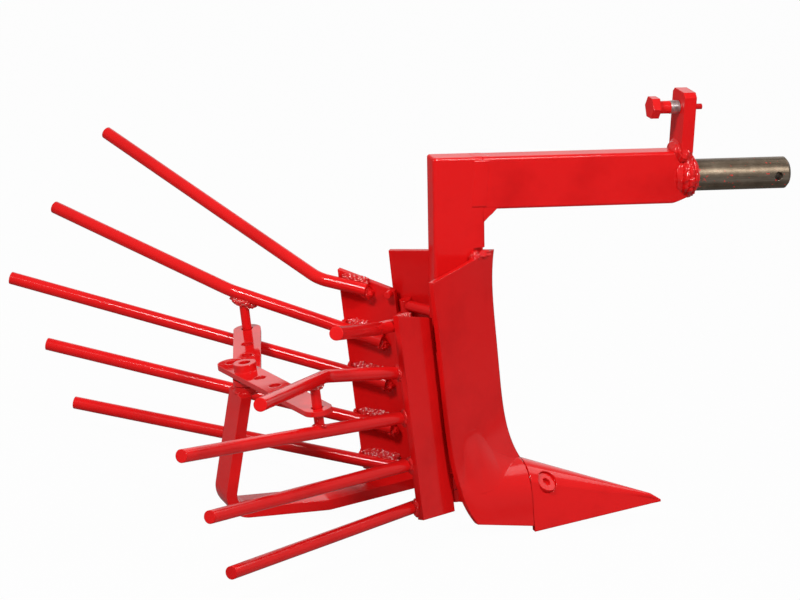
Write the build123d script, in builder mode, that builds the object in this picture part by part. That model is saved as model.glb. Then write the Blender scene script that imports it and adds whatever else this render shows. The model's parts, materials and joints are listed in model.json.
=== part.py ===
import os
from math import asin, atan2, cos, degrees, hypot, radians, sin, tan

from build123d import *

os.makedirs("parts", exist_ok=True)

# Sizes in mm. Plough frame: x forward from the leg's centre, y to the left, z up from the top of the leg.
# Rises are heights over the foot of the leg.

# Leg and arm, cut from one flat bar
BAR_W = 50.0
BAR_T = 20.0
BAR_EDGE = 3.0
BAR_END_R = 2.4
LEG_L = 303.0
LEG_WEDGE_RISE = 215.0
LEG_WEDGE_X = 13.0
LEG_WEDGE_NOSE = 13.0
ARM_END = 233.0
ARM_DROOP = 4.4
ARM_TAPER_L = 17.0
ARM_TAPER_H = 7.0
CORNER_WELD = 16.0
SEAT_GAP = 0.2
FOOT_Z = -LEG_L
SHOULDER_Z = FOOT_Z + LEG_WEDGE_RISE

# Hitch pin with its weld collar and lock hole
PIN_R = 15.0
PIN_L = 101.0
PIN_CHAMFER = 2.5
COLLAR_R = 19.0
COLLAR_L = 5.5
COLLAR_TOE = 0.5
LOCK_HOLE_R = 4.0
LOCK_HOLE_IN = 13.0
PIN_END = ARM_END + PIN_L
LOCK_HOLE_X = PIN_END - LOCK_HOLE_IN

# Stop lug and stop bolt
LUG_IN = 14.0
LUG_T = 12.0
LUG_W = 30.0
LUG_H = 57.0
LUG_CHAMFER = 4.0
BOLT_Z = 41.0
BOLT_R = 6.0
BOLT_HEAD_AF = 19.0
BOLT_HEAD_T = 8.0
BOLT_BACK = 29.0
BOLT_FRONT = 1.0
BOLT_POINT_R = 2.7
BOLT_POINT_L = 10.5
BOLT_FIT = 0.1
LUG_X = ARM_END - LUG_IN
BOLT_HEAD_X = LUG_X - BOLT_BACK
BOLT_NECK_X = LUG_X + LUG_T + BOLT_FRONT

# Mouldboards: front and rear edge of the outer face from the top down
BOARD_T = 5.0
BOARD_GAP = 0.1
BOARD_HALF = 61.0
SEAM_X = 61.0
UPPER_BOARD = [  # front rise, front x, front y, rear rise, rear x, rear inset from the half width
    (209.0, 37.0, 0.0, 202.0, -44.5, 0.5),
    (128.0, 38.0, 0.0, 128.0, -37.0, 0.0),
    (68.0, 43.0, 0.0, 68.0, -31.7, 0.0),
    (23.0, 51.5, 0.0, 23.0, -25.6, 0.0),
    (3.0, 60.5, 0.0, 3.0, -21.0, 0.0),
]
LOWER_BOARD = [
    UPPER_BOARD[-1],
    (-3.0, SEAM_X, 15.0, -3.0, -19.3, 0.2),
    (-14.0, SEAM_X, 26.5, -14.0, -15.8, 0.7),
    (-32.0, SEAM_X, 32.3, -29.0, -8.5, 2.0),
    (-55.0, SEAM_X, 36.0, -38.0, -3.0, 3.0),
]

# Share: outer and inner arch at its rear, front and tip
SHARE_GAP = 0.6
SHARE_L = 142.0
SHARE_NOSE_L = 10.6
SHARE_DROP = 60.5
SHARE_WALL = 6.0
SHARE_SHAPE = [  # run from the rear edge, crown rise, shoulder y, shoulder rise, foot y
    (0.0, 1.4, 27.0, -14.0, 37.0),
    (SHARE_L - SHARE_NOSE_L, -50.9, 2.2, -55.2, 3.0),
    (SHARE_L, -58.4, 0.7, -59.4, 0.9),
]
SHARE_CAVITY = [
    (-0.5, -5.5, 27.0 - SHARE_WALL, -18.0, 37.0 - SHARE_WALL),
    (98.4, -45.0, 3.5, -50.5, 5.0),
]
CAVITY_DEPTH = 2.0
SHARE_X = SEAM_X + SHARE_GAP
SHARE_BOTTOM_Z = FOOT_Z - SHARE_DROP

# Frog under the leg
FROG_GAP = 0.3
FROG_L = 50.4
FROG_H = 35.0
FROG_LAP = 10.0
FROG_FALL = 4.75
FROG_HEEL = 6.0
FROG_TOP_Z = FOOT_Z - SEAT_GAP
FROG_BOTTOM_Z = FOOT_Z - FROG_H
FROG_CROWN_Z = FOOT_Z + SHARE_CAVITY[0][1]

# Share bolts: head centre on the left shoulder and the way the head faces
BOLT_RUN = 17.9
BOLT_SIDE = 20.6
BOLT_FALL = 18.2
BOLT_FACES = (0.33, 0.62, 0.71)
SHARE_HEAD_R = 10.0
SHARE_HEAD_T = 5.0
SHARE_SHANK_R = 5.0
SHARE_BOLT_L = 16.0
SHARE_BOLT_FIT = 0.25
SOCKET_AF = 7.0
SOCKET_DEPTH = 3.0

# Skid: flat bar bent up at the heel
SKID_W = 36.0
SKID_T = 10.0
SKID_R = 18.0
SKID_PATH = [(-BAR_W / 2 - SEAT_GAP, -0.5), (-135.0, -14.3), (-232.3, -11.0), (-208.0, 125.0)]  # x, rise

# Hinge axes of the grates, through the middle of the upper hinge
HINGE_X = -35.0
HINGE_IN = 17.5
HINGE_RISE = 144.4
HINGE_LEAN = 5.92
LOWER_HINGE_V = -149.2
KNUCKLE_R = 5.5
KNUCKLE_H = 12.2
KNUCKLE_GAP = 0.2
HINGE_PIN_R = 3.5
HINGE_FIT = 0.08
BRACKET_W = 7.0
BRACE_R = 5.0
BRACE_V = 7.0
BRACE_IN_X = 9.0
BRACE_IN_Y = 4.0
HINGE_Y = BOARD_HALF - HINGE_IN
HINGE_Z = FOOT_Z + HINGE_RISE

# Grate plates and tines: u runs back along the plate from the hinge, v up the hinge, n outward
GRATE_SPLAY = 39.0
PLATE_T = 6.0
PLATE_N = -1.5
PLATE_OUTLINE = [(8.0, 22.0), (62.5, 43.0), (61.5, -157.5), (8.0, -169.5)]
NOTCH_GAP = 1.5
TINE_REACH = 399.3
TINE_R = 6.0
TINE_SEAT = 0.2
TINE_BEND_R = 40.0
TINES = [  # front u, front v, rise along u, bend u, rise and way out along u past the bend, short of the reach
    (33.0, 25.0, 0.234, 80.0, 0.3855, 0.518, 57.3),
    (24.0, -26.0, 0.3365, 172.0, 0.2758, 0.3609, 20.3),
    (24.0, -67.5, 0.2718, 0.0, 0.0, 0.0, 0.0),
    (24.0, -112.9, 0.2305, 0.0, 0.0, 0.0, 28.3),
    (24.0, -153.2, 0.1835, 0.0, 0.0, 0.0, 48.4),
]
TINE_N = PLATE_N - PLATE_T / 2 - TINE_R - TINE_SEAT
STUB_U = 13.0
STUB_V = 20.0
STUB_R = 3.5
STUB_L = 7.5

# Straps from the eye above the skid to a pin on each grate
EYE_X = -205.7
EYE_RISE = 107.3
SKID_LUG_T = 6.0
SKID_LUG_R = 13.0
STRAP_T = 5.0
STRAP_W = 26.0
STRAP_HOLE_R = 5.5
STRAP_PITCH = 32.5
STRAP_GAP = 0.25
STRAP_PIN_R = 4.5
BOSS_R = 10.5
BOSS_H = 7.4
STRAPS = {  # degrees forward of the cross line, degrees of fall to the pin, reach to the pin, tail past the eye
    "left": (17.5, 0.5, 143.0, 0.0),
    "right": (7.15, -2.5, 156.6, STRAP_PITCH),
}
LEFT_FALL = tan(radians(STRAPS["left"][1]))
TAIL_FALL = -tan(radians(STRAPS["right"][1]))
LEFT_LIFT = STRAP_GAP + (SKID_LUG_R + STRAP_PITCH) * LEFT_FALL
TAIL_ROOM = STRAP_W * LEFT_FALL + (STRAP_PITCH + STRAP_W / 2) * TAIL_FALL + STRAP_GAP
STRAP_LIFT = {"left": LEFT_LIFT, "right": LEFT_LIFT + STRAP_T + TAIL_ROOM}

# As it stands, the share's heels and the skid's heel touch the ground, so the plough leans back
HEEL_R = SKID_R + SKID_T / 2


SKID_LINE = [(x, FOOT_Z + rise) for x, rise in SKID_PATH]


def bend_centre(path, radius):
    (ax, az), (bx, bz), (cx, cz) = path[1:4]
    a = (ax - bx, az - bz)
    c = (cx - bx, cz - bz)
    la, lc = hypot(*a), hypot(*c)
    mid = (a[0] / la + c[0] / lc, a[1] / la + c[1] / lc)
    turn = atan2(abs(a[0] * c[1] - a[1] * c[0]), a[0] * c[0] + a[1] * c[1]) / 2
    reach = radius / sin(turn) / hypot(*mid)
    return bx + mid[0] * reach, bz + mid[1] * reach


HEEL_X, HEEL_Z = bend_centre(SKID_LINE, SKID_R)
HEEL_DX = SHARE_X - HEEL_X
HEEL_DZ = HEEL_Z - SHARE_BOTTOM_Z
LEAN = degrees(atan2(HEEL_DZ, HEEL_DX) - asin(HEEL_R / hypot(HEEL_DX, HEEL_DZ)))
STAND_X = -4.07
STAND_Z = cos(radians(LEAN)) * -SHARE_BOTTOM_Z - sin(radians(LEAN)) * SHARE_X

FRAME = Plane(
    origin=(STAND_X, 0, STAND_Z),
    x_dir=(cos(radians(LEAN)), 0, sin(radians(LEAN))),
    z_dir=(-sin(radians(LEAN)), 0, cos(radians(LEAN))),
)


def at(x, y, z):
    return FRAME.from_local_coords((x, y, z))


def way(x, y, z):
    return at(x, y, z) - at(0, 0, 0)


def side_plane(y):
    return Plane(origin=at(0, y, 0), x_dir=way(1, 0, 0), z_dir=(0, -1, 0))


def level_plane(z):
    return Plane(origin=at(0, 0, z), x_dir=way(1, 0, 0), z_dir=way(0, 0, 1))


def cross_plane(x):
    return Plane(origin=at(x, 0, 0), x_dir=(0, 1, 0), z_dir=way(1, 0, 0))


# Arm frame: its x runs along the drooping arm and its z is square to it, from the same origin
DROOP = radians(ARM_DROOP)
ARM_X = way(cos(DROOP), 0, -sin(DROOP))
ARM_Z = way(sin(DROOP), 0, cos(DROOP))


def arm_at(x, y, z):
    return at(0, y, 0) + ARM_X * x + ARM_Z * z


def arm_side(y):
    return Plane(origin=arm_at(0, y, 0), x_dir=ARM_X, z_dir=(0, -1, 0))


def arm_cross(x, z=0.0):
    return Plane(origin=arm_at(x, 0, z), x_dir=(0, 1, 0), z_dir=ARM_X)


# Grate frame of the left side
HINGE_UP = way(-sin(radians(HINGE_LEAN)), 0, cos(radians(HINGE_LEAN)))
HINGE_AT = at(HINGE_X, HINGE_Y, HINGE_Z)
BACK = way(-cos(radians(GRATE_SPLAY)), sin(radians(GRATE_SPLAY)), 0)
PLATE_U = (BACK - HINGE_UP * BACK.dot(HINGE_UP)).normalized()
GRATE = Plane(origin=HINGE_AT, x_dir=PLATE_U, z_dir=PLATE_U.cross(HINGE_UP))


def grate_at(u, v, n):
    return GRATE.from_local_coords((u, v, n))


def hinge_level(v):
    return Plane(origin=grate_at(0, v, 0), x_dir=PLATE_U, z_dir=HINGE_UP)


# Leg: rounded flat bar, cut level with the arm's top and ground to a wedge inside the mouldboards
with BuildPart() as leg:
    with BuildSketch(level_plane(SHOULDER_Z)):
        RectangleRounded(BAR_W, BAR_T, BAR_EDGE)
    extrude(amount=-SHOULDER_Z + BAR_EDGE)
    split(bisect_by=Plane(origin=arm_at(0, 0, 0), z_dir=ARM_Z), keep=Keep.BOTTOM)
    fillet(leg.faces().sort_by(Axis(arm_at(0, 0, 0), ARM_Z))[-1].edges(), BAR_END_R)
    with BuildSketch(level_plane(SHOULDER_Z)) as wedge:
        with BuildLine():
            Polyline(
                (-BAR_W / 2, -BAR_T / 2),
                (LEG_WEDGE_X, -BAR_T / 2),
                (LEG_WEDGE_X + LEG_WEDGE_NOSE, 0),
                (LEG_WEDGE_X, BAR_T / 2),
                (-BAR_W / 2, BAR_T / 2),
                close=True,
            )
        make_face()
        fillet(wedge.vertices().sort_by(Axis.X)[:2], BAR_EDGE)
    extrude(amount=FOOT_Z - SHOULDER_Z)
leg.part.label = "leg"
export_step(leg.part, "parts/leg.step")

# Arm: the same bar butted on the leg, with the corner weld below it
with BuildPart() as arm:
    with BuildSketch(arm_cross(BAR_W / 2 - BAR_EDGE, -BAR_W / 2)):
        RectangleRounded(BAR_T, BAR_W, BAR_EDGE)
    extrude(amount=ARM_END - BAR_W / 2 + BAR_EDGE)
    with BuildSketch(arm_side(0)):
        with BuildLine():
            Polyline(
                (ARM_END - ARM_TAPER_L, -BAR_W),
                (ARM_END, -BAR_W + ARM_TAPER_H),
                (ARM_END, -BAR_W),
                close=True,
            )
        make_face()
    extrude(amount=BAR_T, both=True, mode=Mode.SUBTRACT)
    with BuildSketch(arm_side(0)):
        with BuildLine():
            Polyline(
                (BAR_W / 2 - BAR_EDGE, -BAR_W + BAR_EDGE),
                (BAR_W / 2 + CORNER_WELD + BAR_EDGE, -BAR_W + BAR_EDGE),
                (BAR_W / 2 - BAR_EDGE, -BAR_W - CORNER_WELD - BAR_EDGE),
                close=True,
            )
        make_face()
    extrude(amount=BAR_T / 2 - BAR_EDGE, both=True)
    add(leg.part, mode=Mode.SUBTRACT)
arm.part.label = "arm"
export_step(arm.part, "parts/arm.step")

# Hitch pin: round bar with a weld collar at the arm and a lock hole at its end
with BuildPart() as hitch_pin:
    with BuildSketch(arm_cross(ARM_END + SEAT_GAP, -BAR_W / 2)):
        Circle(PIN_R)
    extrude(amount=PIN_END - ARM_END - SEAT_GAP)
    chamfer(hitch_pin.edges().filter_by(GeomType.CIRCLE).sort_by(Axis(arm_at(0, 0, 0), ARM_X))[-1], PIN_CHAMFER)
    with BuildSketch(arm_cross(ARM_END + SEAT_GAP, -BAR_W / 2)):
        Circle(COLLAR_R)
    with BuildSketch(arm_cross(ARM_END + SEAT_GAP + COLLAR_L, -BAR_W / 2)):
        Circle(PIN_R + COLLAR_TOE)
    loft()
    with BuildSketch(Plane(origin=arm_at(LOCK_HOLE_X, 0, -BAR_W / 2), x_dir=ARM_X, z_dir=(0, 1, 0))):
        Circle(LOCK_HOLE_R)
    extrude(amount=PIN_R * 2, both=True, mode=Mode.SUBTRACT)
hitch_pin.part.label = "hitch_pin"
export_step(hitch_pin.part, "parts/hitch_pin.step")

# Stop lug: upright flat on the end of the arm, bored for the stop bolt
with BuildPart() as stop_lug:
    with BuildSketch(arm_cross(LUG_X)) as lug_face:
        with Locations((0, (LUG_H + SEAT_GAP) / 2)):
            Rectangle(LUG_W, LUG_H - SEAT_GAP)
        chamfer(lug_face.vertices().sort_by(Axis.Y)[-2:], LUG_CHAMFER)
        with Locations((0, BOLT_Z)):
            Circle(BOLT_R + BOLT_FIT, mode=Mode.SUBTRACT)
    extrude(amount=LUG_T)
stop_lug.part.label = "stop_lug"
export_step(stop_lug.part, "parts/stop_lug.step")

# Stop bolt: hexagon head behind the lug, thin point out of its front
with BuildPart() as stop_bolt:
    with BuildSketch(arm_cross(BOLT_HEAD_X, BOLT_Z)):
        RegularPolygon(BOLT_HEAD_AF / 2, 6, major_radius=False)
    extrude(amount=BOLT_HEAD_T)
    with BuildSketch(arm_cross(BOLT_HEAD_X + BOLT_HEAD_T, BOLT_Z)):
        Circle(BOLT_R)
    extrude(amount=BOLT_NECK_X - BOLT_HEAD_X - BOLT_HEAD_T)
    with BuildSketch(arm_cross(BOLT_NECK_X, BOLT_Z)):
        Circle(BOLT_POINT_R)
    extrude(amount=BOLT_POINT_L)
stop_bolt.part.label = "stop_bolt"
export_step(stop_bolt.part, "parts/stop_bolt.step")


# Mouldboards: thin sections from the front edge to the rear edge, lofted downwards
def board_edges(row):
    front_rise, xf, yf, rear_rise, xr, inset = row
    return FOOT_Z + front_rise, xf, yf, FOOT_Z + rear_rise, xr, BOARD_HALF - inset


def board_plane(row):
    zf, xf, yf, zr, xr, yr = board_edges(row)
    run = hypot(xf - xr, zf - zr)
    ahead = way((xf - xr) / run, 0, (zf - zr) / run)
    return Plane(origin=at(xf, 0, zf), x_dir=ahead, z_dir=ahead.cross(Vector(0, 1, 0)))


def board_outline(row):
    zf, xf, yf, zr, xr, yr = board_edges(row)
    run = hypot(xf - xr, zf - zr)
    slope = atan2(yr - yf, run)
    inner = (-BOARD_T * sin(slope), -BOARD_T * cos(slope))
    if yf == 0:
        nose = (-(BOARD_T / sin(slope)), BOARD_GAP)
    else:
        nose = (0, yf - BOARD_T / cos(slope))
    front = (0, max(yf, BOARD_GAP))
    return [front, (-run, yr), (-run + inner[0], yr + inner[1]), nose]


with BuildPart() as mouldboard_left:
    for rows in (UPPER_BOARD, LOWER_BOARD):
        outlines = []
        for row in rows:
            with BuildSketch(board_plane(row)) as outline:
                with BuildLine():
                    Polyline(*board_outline(row), close=True)
                make_face()
            outlines.append(outline.sketch)
        loft(outlines)
    split(bisect_by=cross_plane(SEAM_X + SEAT_GAP), keep=Keep.BOTTOM)
mouldboard_left.part.label = "mouldboard_left"
export_step(mouldboard_left.part, "parts/mouldboard_left.step")

with BuildPart() as mouldboard_right:
    mirror(mouldboard_left.part, about=Plane.XZ)
mouldboard_right.part.label = "mouldboard_right"
export_step(mouldboard_right.part, "parts/mouldboard_right.step")


# Share: arched nose, hollow from below, with countersunk seats for its bolts
def arch(row, shrink=0.0, depth=0.0):
    run, crown, shoulder_y, shoulder, foot_y = row
    left = (shoulder_y - shrink, FOOT_Z + shoulder - shrink)
    right = (-left[0], left[1])
    ThreePointArc(left, (0, FOOT_Z + crown - shrink), right)
    Polyline(right, (shrink - foot_y, SHARE_BOTTOM_Z - depth), (foot_y - shrink, SHARE_BOTTOM_Z - depth), left)


def bolt_plane(depth):
    seat = at(SHARE_X + BOLT_RUN, BOLT_SIDE, FOOT_Z - BOLT_FALL) - way(*BOLT_FACES).normalized() * depth
    return Plane(origin=seat, x_dir=way(1, 0, 0).cross(way(*BOLT_FACES)), z_dir=way(*BOLT_FACES))


with BuildPart() as share_cavity:
    for row in SHARE_CAVITY:
        with BuildSketch(cross_plane(SHARE_X + row[0])):
            with BuildLine():
                arch(row, depth=CAVITY_DEPTH)
            make_face()
    loft(ruled=True)

with BuildPart() as bolt_room:
    with BuildSketch(bolt_plane(SHARE_HEAD_T + SHARE_BOLT_FIT)):
        Circle(SHARE_HEAD_R + SHARE_BOLT_FIT)
    extrude(amount=SHARE_HEAD_T * 3)
    with BuildSketch(bolt_plane(SHARE_HEAD_T)):
        Circle(SHARE_SHANK_R + SHARE_BOLT_FIT)
    extrude(amount=-SHARE_BOLT_L * 2)
    mirror(about=Plane.XZ)

with BuildPart() as share:
    for back, front in zip(SHARE_SHAPE, SHARE_SHAPE[1:]):
        arches = []
        for row in (back, front):
            with BuildSketch(cross_plane(SHARE_X + row[0])) as section:
                with BuildLine():
                    arch(row)
                make_face()
            arches.append(section.sketch)
        loft(arches, ruled=True)
    add(share_cavity.part, mode=Mode.SUBTRACT)
    add(bolt_room.part, mode=Mode.SUBTRACT)
share.part.label = "share"
export_step(share.part, "parts/share.step")

# Frog: block under the leg that fills the share's rear half
with BuildPart() as frog:
    for row in SHARE_CAVITY:
        with BuildSketch(cross_plane(SHARE_X + row[0])):
            with BuildLine():
                arch(row, shrink=FROG_GAP, depth=CAVITY_DEPTH)
            make_face()
    loft(ruled=True)
    split(bisect_by=cross_plane(SHARE_X + FROG_L), keep=Keep.BOTTOM)
    split(bisect_by=level_plane(FROG_BOTTOM_Z), keep=Keep.TOP)
    with BuildSketch(side_plane(0)):
        with BuildLine():
            Polyline(
                (-BAR_W / 2, FROG_TOP_Z),
                (LEG_WEDGE_X + BAR_T / 2, FROG_TOP_Z),
                (SHARE_X - FROG_LAP, FROG_CROWN_Z - FROG_FALL),
                (SHARE_X + FROG_LAP, FROG_CROWN_Z - FROG_FALL * 2),
                (SHARE_X + FROG_LAP, FROG_BOTTOM_Z),
                (-BAR_W / 2, FROG_BOTTOM_Z + FROG_HEEL),
                close=True,
            )
        make_face()
    extrude(amount=BAR_T / 2, both=True)
    add(bolt_room.part, mode=Mode.SUBTRACT)
frog.part.label = "frog"
export_step(frog.part, "parts/frog.step")

# Share bolts: flush heads with hexagon sockets on both shoulders
with BuildPart() as share_bolts:
    with BuildSketch(bolt_plane(SHARE_HEAD_T)):
        Circle(SHARE_HEAD_R)
    extrude(amount=SHARE_HEAD_T)
    with BuildSketch(bolt_plane(SHARE_HEAD_T)):
        Circle(SHARE_SHANK_R)
    extrude(amount=-SHARE_BOLT_L)
    with BuildSketch(bolt_plane(0)):
        RegularPolygon(SOCKET_AF / 2, 6, major_radius=False)
    extrude(amount=-SOCKET_DEPTH, mode=Mode.SUBTRACT)
    mirror(about=Plane.XZ)
share_bolts.part.label = "share_bolts"
export_step(share_bolts.part, "parts/share_bolts.step")

# Eye over the skid, where the straps cross. Everything that swings turns square to the hinge axes.
EYE_AT = at(EYE_X, 0, FOOT_Z + EYE_RISE)


def eye_plane(height, forward=0.0):
    ahead = HINGE_UP.cross(Vector(0, -1, 0))
    turn = radians(forward)
    return Plane(
        origin=EYE_AT + HINGE_UP * height,
        x_dir=Vector(0, 1, 0) * cos(turn) + ahead * sin(turn),
        z_dir=HINGE_UP,
    )


# Skid: flat bar from the leg down to the heel and up to the lug
with BuildPart() as skid:
    with BuildLine(side_plane(0)) as skid_line:
        FilletPolyline(*SKID_LINE, radius=SKID_R)
    with BuildSketch(Plane(origin=skid_line.line @ 0, x_dir=(0, 1, 0), z_dir=skid_line.line % 0)):
        Rectangle(SKID_W, SKID_T)
    sweep(path=skid_line.line)
    split(bisect_by=eye_plane(-SKID_LUG_T - SEAT_GAP), keep=Keep.BOTTOM)
    split(bisect_by=cross_plane(-BAR_W / 2 - SEAT_GAP), keep=Keep.BOTTOM)
skid.part.label = "skid"
export_step(skid.part, "parts/skid.step")

# Skid lug: round-ended ear on top of the skid, bored for the eye
with BuildPart() as skid_lug:
    with BuildSketch(eye_plane(-SKID_LUG_T)):
        Circle(SKID_LUG_R)
        Circle(STRAP_HOLE_R, mode=Mode.SUBTRACT)
    extrude(amount=SKID_LUG_T)
skid_lug.part.label = "skid_lug"
export_step(skid_lug.part, "parts/skid_lug.step")

# Hinges: fixed halves with their pins, the upper one above its knuckle and the lower one below
HINGE_HALVES = [(0.0, 1), (LOWER_HINGE_V, -1)]  # middle v, side of the fixed half

with BuildPart() as hinge_left:
    for mid, sign in HINGE_HALVES:
        with BuildSketch(hinge_level(mid + sign * KNUCKLE_GAP)):
            Circle(KNUCKLE_R)
        extrude(amount=sign * KNUCKLE_H)
        with BuildSketch(hinge_level(mid + sign * KNUCKLE_GAP)):
            with Locations((0, -KNUCKLE_R)):
                Rectangle(BRACKET_W, KNUCKLE_R * 2)
        extrude(amount=sign * KNUCKLE_H)
        with BuildSketch(hinge_level(mid + sign * KNUCKLE_GAP)):
            Circle(HINGE_PIN_R)
        extrude(amount=-sign * KNUCKLE_H)
    add(mouldboard_left.part, mode=Mode.SUBTRACT)
hinge_left.part.label = "hinge_left"
export_step(hinge_left.part, "parts/hinge_left.step")

with BuildPart() as hinge_right:
    mirror(hinge_left.part, about=Plane.XZ)
hinge_right.part.label = "hinge_right"
export_step(hinge_right.part, "parts/hinge_right.step")

# Braces: round rods from the leg to the upper hinges, coped at both ends
with BuildPart() as brace_left:
    leg_end = at(BRACE_IN_X - BAR_W / 2, BAR_T / 2 - BRACE_IN_Y, HINGE_Z + BRACE_V)
    hinge_end = grate_at(0, BRACE_V, 0)
    with BuildSketch(Plane(origin=leg_end, z_dir=hinge_end - leg_end)):
        Circle(BRACE_R)
    extrude(amount=(hinge_end - leg_end).length)
    with BuildSketch(hinge_level(0)):
        Circle(KNUCKLE_R + SEAT_GAP)
    extrude(amount=KNUCKLE_H * 3, both=True, mode=Mode.SUBTRACT)
    with BuildSketch(level_plane(FOOT_Z)):
        Rectangle(BAR_W + SEAT_GAP * 2, BAR_T + SEAT_GAP * 2)
    extrude(amount=-FOOT_Z, mode=Mode.SUBTRACT)
brace_left.part.label = "brace_left"
export_step(brace_left.part, "parts/brace_left.step")

with BuildPart() as brace_right:
    mirror(brace_left.part, about=Plane.XZ)
brace_right.part.label = "brace_right"
export_step(brace_right.part, "parts/brace_right.step")

# Grate plates: flat bars with one knuckle at each hinge and room for the fixed halves
with BuildPart() as grate_plate_left:
    with BuildSketch(GRATE.offset(PLATE_N - PLATE_T / 2)):
        with BuildLine():
            Polyline(*PLATE_OUTLINE, close=True)
        make_face()
    extrude(amount=PLATE_T)
    with BuildSketch(GRATE.offset(PLATE_N)):
        with Locations((STUB_U, STUB_V)):
            Circle(STUB_R)
    extrude(amount=-PLATE_T / 2 - STUB_L)
    for mid, sign in HINGE_HALVES:
        with BuildSketch(hinge_level(mid - sign * KNUCKLE_GAP)):
            Circle(KNUCKLE_R)
            with Locations((KNUCKLE_R, -PLATE_N)):
                Rectangle(KNUCKLE_R * 2, PLATE_T)
        extrude(amount=-sign * KNUCKLE_H)
        with BuildSketch(hinge_level(mid - sign * KNUCKLE_H * 2)):
            Circle(HINGE_PIN_R + HINGE_FIT)
        extrude(amount=sign * KNUCKLE_H * 3, mode=Mode.SUBTRACT)
        with BuildSketch(hinge_level(mid - sign * KNUCKLE_GAP)):
            Circle(KNUCKLE_R + NOTCH_GAP)
        extrude(amount=sign * (KNUCKLE_H + NOTCH_GAP), mode=Mode.SUBTRACT)
grate_plate_left.part.label = "grate_plate_left"
export_step(grate_plate_left.part, "parts/grate_plate_left.step")

with BuildPart() as grate_plate_right:
    mirror(grate_plate_left.part, about=Plane.XZ)
grate_plate_right.part.label = "grate_plate_right"
export_step(grate_plate_right.part, "parts/grate_plate_right.step")


# Tines: round bars on the inner face of each plate, the upper two bent outwards
def tine_level(row, u):
    front_u, front_v, rise, bend_u, bend_rise, bend_out, short = row
    if bend_u and u > bend_u:
        return front_v + rise * (bend_u - front_u) + bend_rise * (u - bend_u)
    return front_v + rise * (u - front_u)


def tine_line(row):
    front_u, front_v, rise, bend_u, bend_rise, bend_out, short = row
    tip_u = TINE_REACH - short
    start = grate_at(front_u, front_v, TINE_N)
    if bend_u == 0:
        Line(start, grate_at(tip_u, tine_level(row, tip_u), TINE_N))
        return
    tip = grate_at(tip_u, tine_level(row, tip_u), TINE_N + bend_out * (tip_u - bend_u))
    bend = grate_at(bend_u, tine_level(row, bend_u), TINE_N)
    toward = (bend - start).normalized()
    onward = (tip - bend).normalized()
    half = radians(toward.get_angle(onward)) / 2
    reach = TINE_BEND_R * tan(half)
    middle = bend + (onward - toward).normalized() * TINE_BEND_R * (1 / cos(half) - 1)
    Line(start, bend - toward * reach)
    ThreePointArc(bend - toward * reach, middle, bend + onward * reach)
    Line(bend + onward * reach, tip)


def add_tine(row, radius):
    with BuildLine() as tine_path:
        tine_line(row)
    with BuildSketch(Plane(origin=tine_path.line @ 0, z_dir=tine_path.line % 0)) as tine_end:
        Circle(radius)
    return sweep(tine_end.sketch, path=tine_path.line, mode=Mode.PRIVATE)


for number, row in enumerate(TINES, 1):
    with BuildPart() as tine_left:
        add(add_tine(row, TINE_R))
    tine_left.part.label = f"tine_left_{number}"
    export_step(tine_left.part, f"parts/tine_left_{number}.step")
    with BuildPart() as tine_right:
        mirror(tine_left.part, about=Plane.XZ)
    tine_right.part.label = f"tine_right_{number}"
    export_step(tine_right.part, f"parts/tine_right_{number}.step")

# Straps on their pins: the left one lies on the skid lug, the right one, with a boss at the eye, on top of it
def strap_turn(name):
    return STRAPS[name][0] if name == "left" else 180 - STRAPS[name][0]


def strap_plane(name, level=0.0):
    flat = eye_plane(STRAP_LIFT[name], strap_turn(name))
    fall = radians(STRAPS[name][1])
    up = HINGE_UP * cos(fall) + flat.x_dir * sin(fall)
    return Plane(origin=flat.origin + up * level, x_dir=flat.x_dir * cos(fall) - HINGE_UP * sin(fall), z_dir=up)


def pin_spot(name):
    fall, reach = STRAPS[name][1:3]
    return eye_plane(0, strap_turn(name)).from_local_coords((reach * cos(radians(fall)), 0, 0))


def pin_levels(name):
    spot = pin_spot(name)
    u, v, n = GRATE.to_local_coords(Vector(spot.X, abs(spot.Y), spot.Z))
    return tine_level(TINES[2], u) - v, tine_level(TINES[1], u) - v


for name, (forward, fall, reach, tail) in STRAPS.items():
    first = -round(tail / STRAP_PITCH)
    last = int(reach / STRAP_PITCH) - 1
    holes = [hole * STRAP_PITCH for hole in range(first, last + 1)] + [reach]
    with BuildPart() as strap:
        with BuildSketch(strap_plane(name)):
            with Locations(((reach - tail) / 2, 0)):
                SlotCenterToCenter(reach + tail, STRAP_W)
        extrude(amount=STRAP_T)
        if tail:
            with BuildSketch(strap_plane(name, STRAP_T)):
                Circle(BOSS_R)
            extrude(amount=BOSS_H)
        with BuildSketch(strap_plane(name)):
            with Locations(*[(hole, 0) for hole in holes]):
                Circle(STRAP_HOLE_R)
        extrude(amount=STRAP_T + BOSS_H, mode=Mode.SUBTRACT)
    strap.part.label = f"strap_{name}"
    export_step(strap.part, f"parts/strap_{name}.step")
    low, high = pin_levels(name)
    with BuildPart() as strap_pin:
        with BuildSketch(eye_plane(low, strap_turn(name))):
            with Locations((reach * cos(radians(fall)), 0)):
                Circle(STRAP_PIN_R)
        extrude(amount=high - low)
        for row in TINES[1:3]:
            tine_room = add_tine(row, TINE_R + SEAT_GAP)
            if name == "right":
                tine_room = mirror(tine_room, about=Plane.XZ, mode=Mode.PRIVATE)
            add(tine_room, mode=Mode.SUBTRACT)
    strap_pin.part.label = f"strap_pin_{name}"
    export_step(strap_pin.part, f"parts/strap_pin_{name}.step")

print("lean", round(LEAN, 3))
print("hinge at", [round(c, 3) for c in HINGE_AT], "axis", [round(c, 6) for c in HINGE_UP])
for name in STRAPS:
    print("strap pin", name, [round(c, 3) for c in pin_spot(name)])
print("hitch pin end", [round(c, 3) for c in arm_at(PIN_END, 0, -BAR_W / 2)])
print("way", [round(c, 6) for c in ARM_X])
print("lock hole", [round(c, 3) for c in arm_at(LOCK_HOLE_X, 0, -BAR_W / 2)])
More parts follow.
